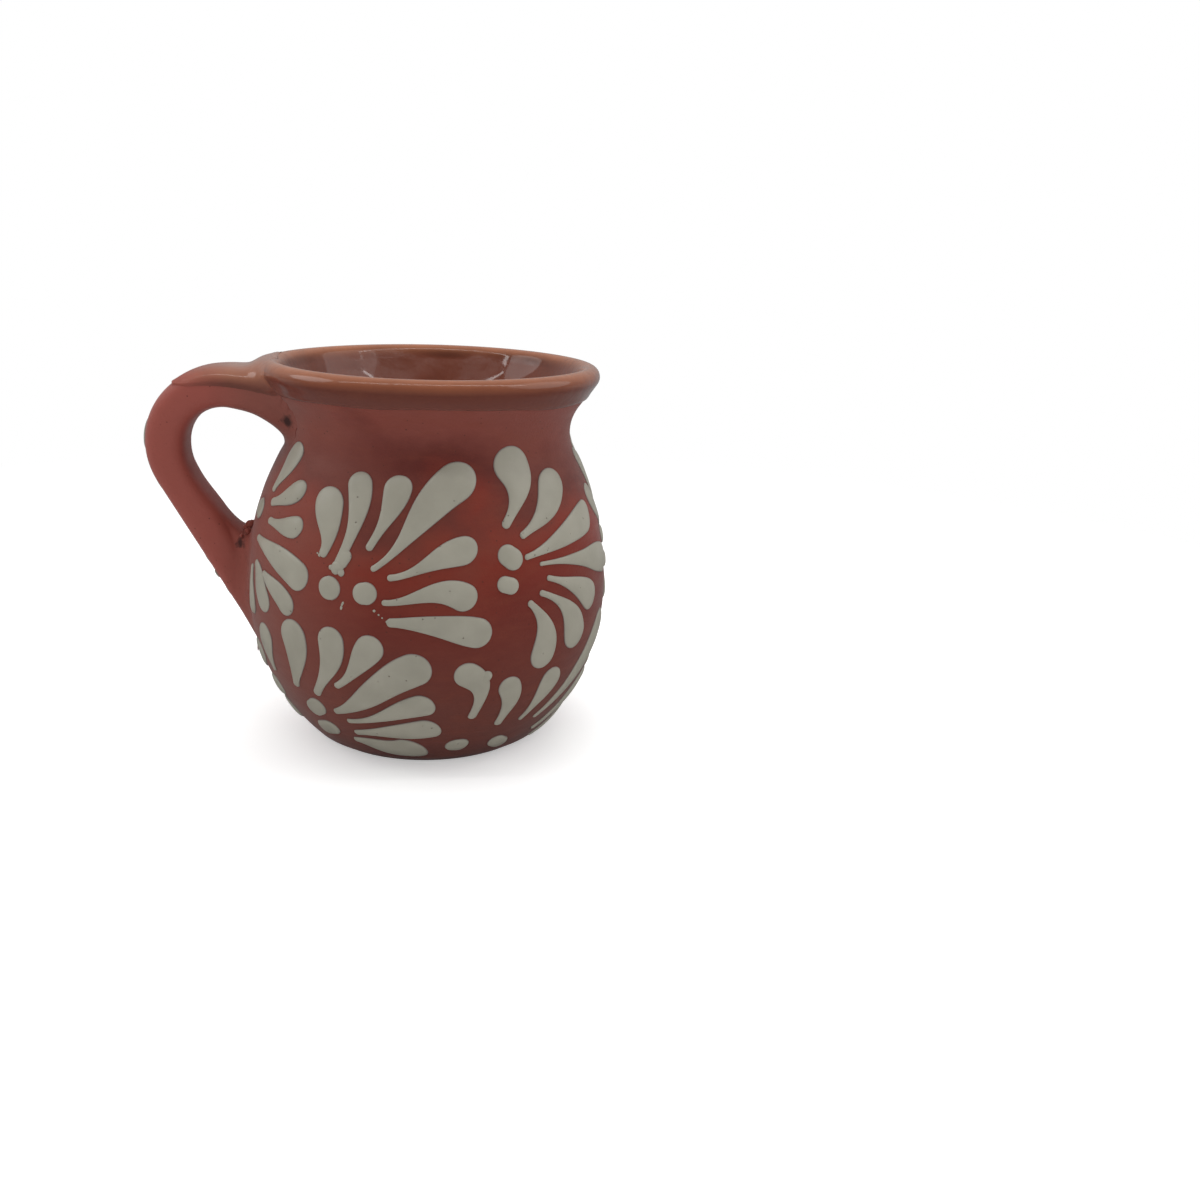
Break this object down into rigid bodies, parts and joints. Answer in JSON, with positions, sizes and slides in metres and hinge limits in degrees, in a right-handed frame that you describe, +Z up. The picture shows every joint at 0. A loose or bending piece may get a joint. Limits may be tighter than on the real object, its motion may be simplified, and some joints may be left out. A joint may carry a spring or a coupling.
{
  "type": "clay mug",
  "caption": "Round-bellied clay jarrito mug with a rolled glazed lip, a strap handle and raised white slip fans, for hot drinks.",
  "frame": {"origin": "centre of the foot, on the pot's axis, in the plane the mug stands on", "axes": "+Z up along the pot's axis; the handle points along -X; -Y faces the viewer"},
  "size_m": [0.114, 0.0913, 0.095],
  "materials": {
    "clay": "burnished red earthenware, semi-matte, mottled from brick red to brown",
    "inside_glaze": "clear lead-free glaze over red clay, glossy reddish brown",
    "rim_glaze": "clear glaze pooled over the lip, glossy orange brown",
    "slip": "raised off-white slip with a soft sheen"
  },
  "bodies": {
    "root": {"pot_body": "clay", "handle": "clay", "upper_joint": "clay", "lower_joint": "clay", "inner_glaze": "inside_glaze", "rim_glaze": "rim_glaze", "handle_glaze": "rim_glaze", "fan_front_centre": "slip", "fan_front_right": "slip", "fan_front_low_left": "slip", "fan_front_low_right": "slip", "fan_handle_front": "slip", "fan_handle_back": "slip", "fan_far_centre": "slip", "fan_far_side": "slip", "fan_far_low": "slip", "fan_far_low_side": "slip", "fan_side_high": "slip", "fan_side_low": "slip", "fan_under_handle": "slip", "handle_strokes": "slip"}
  },
  "joints": []
}
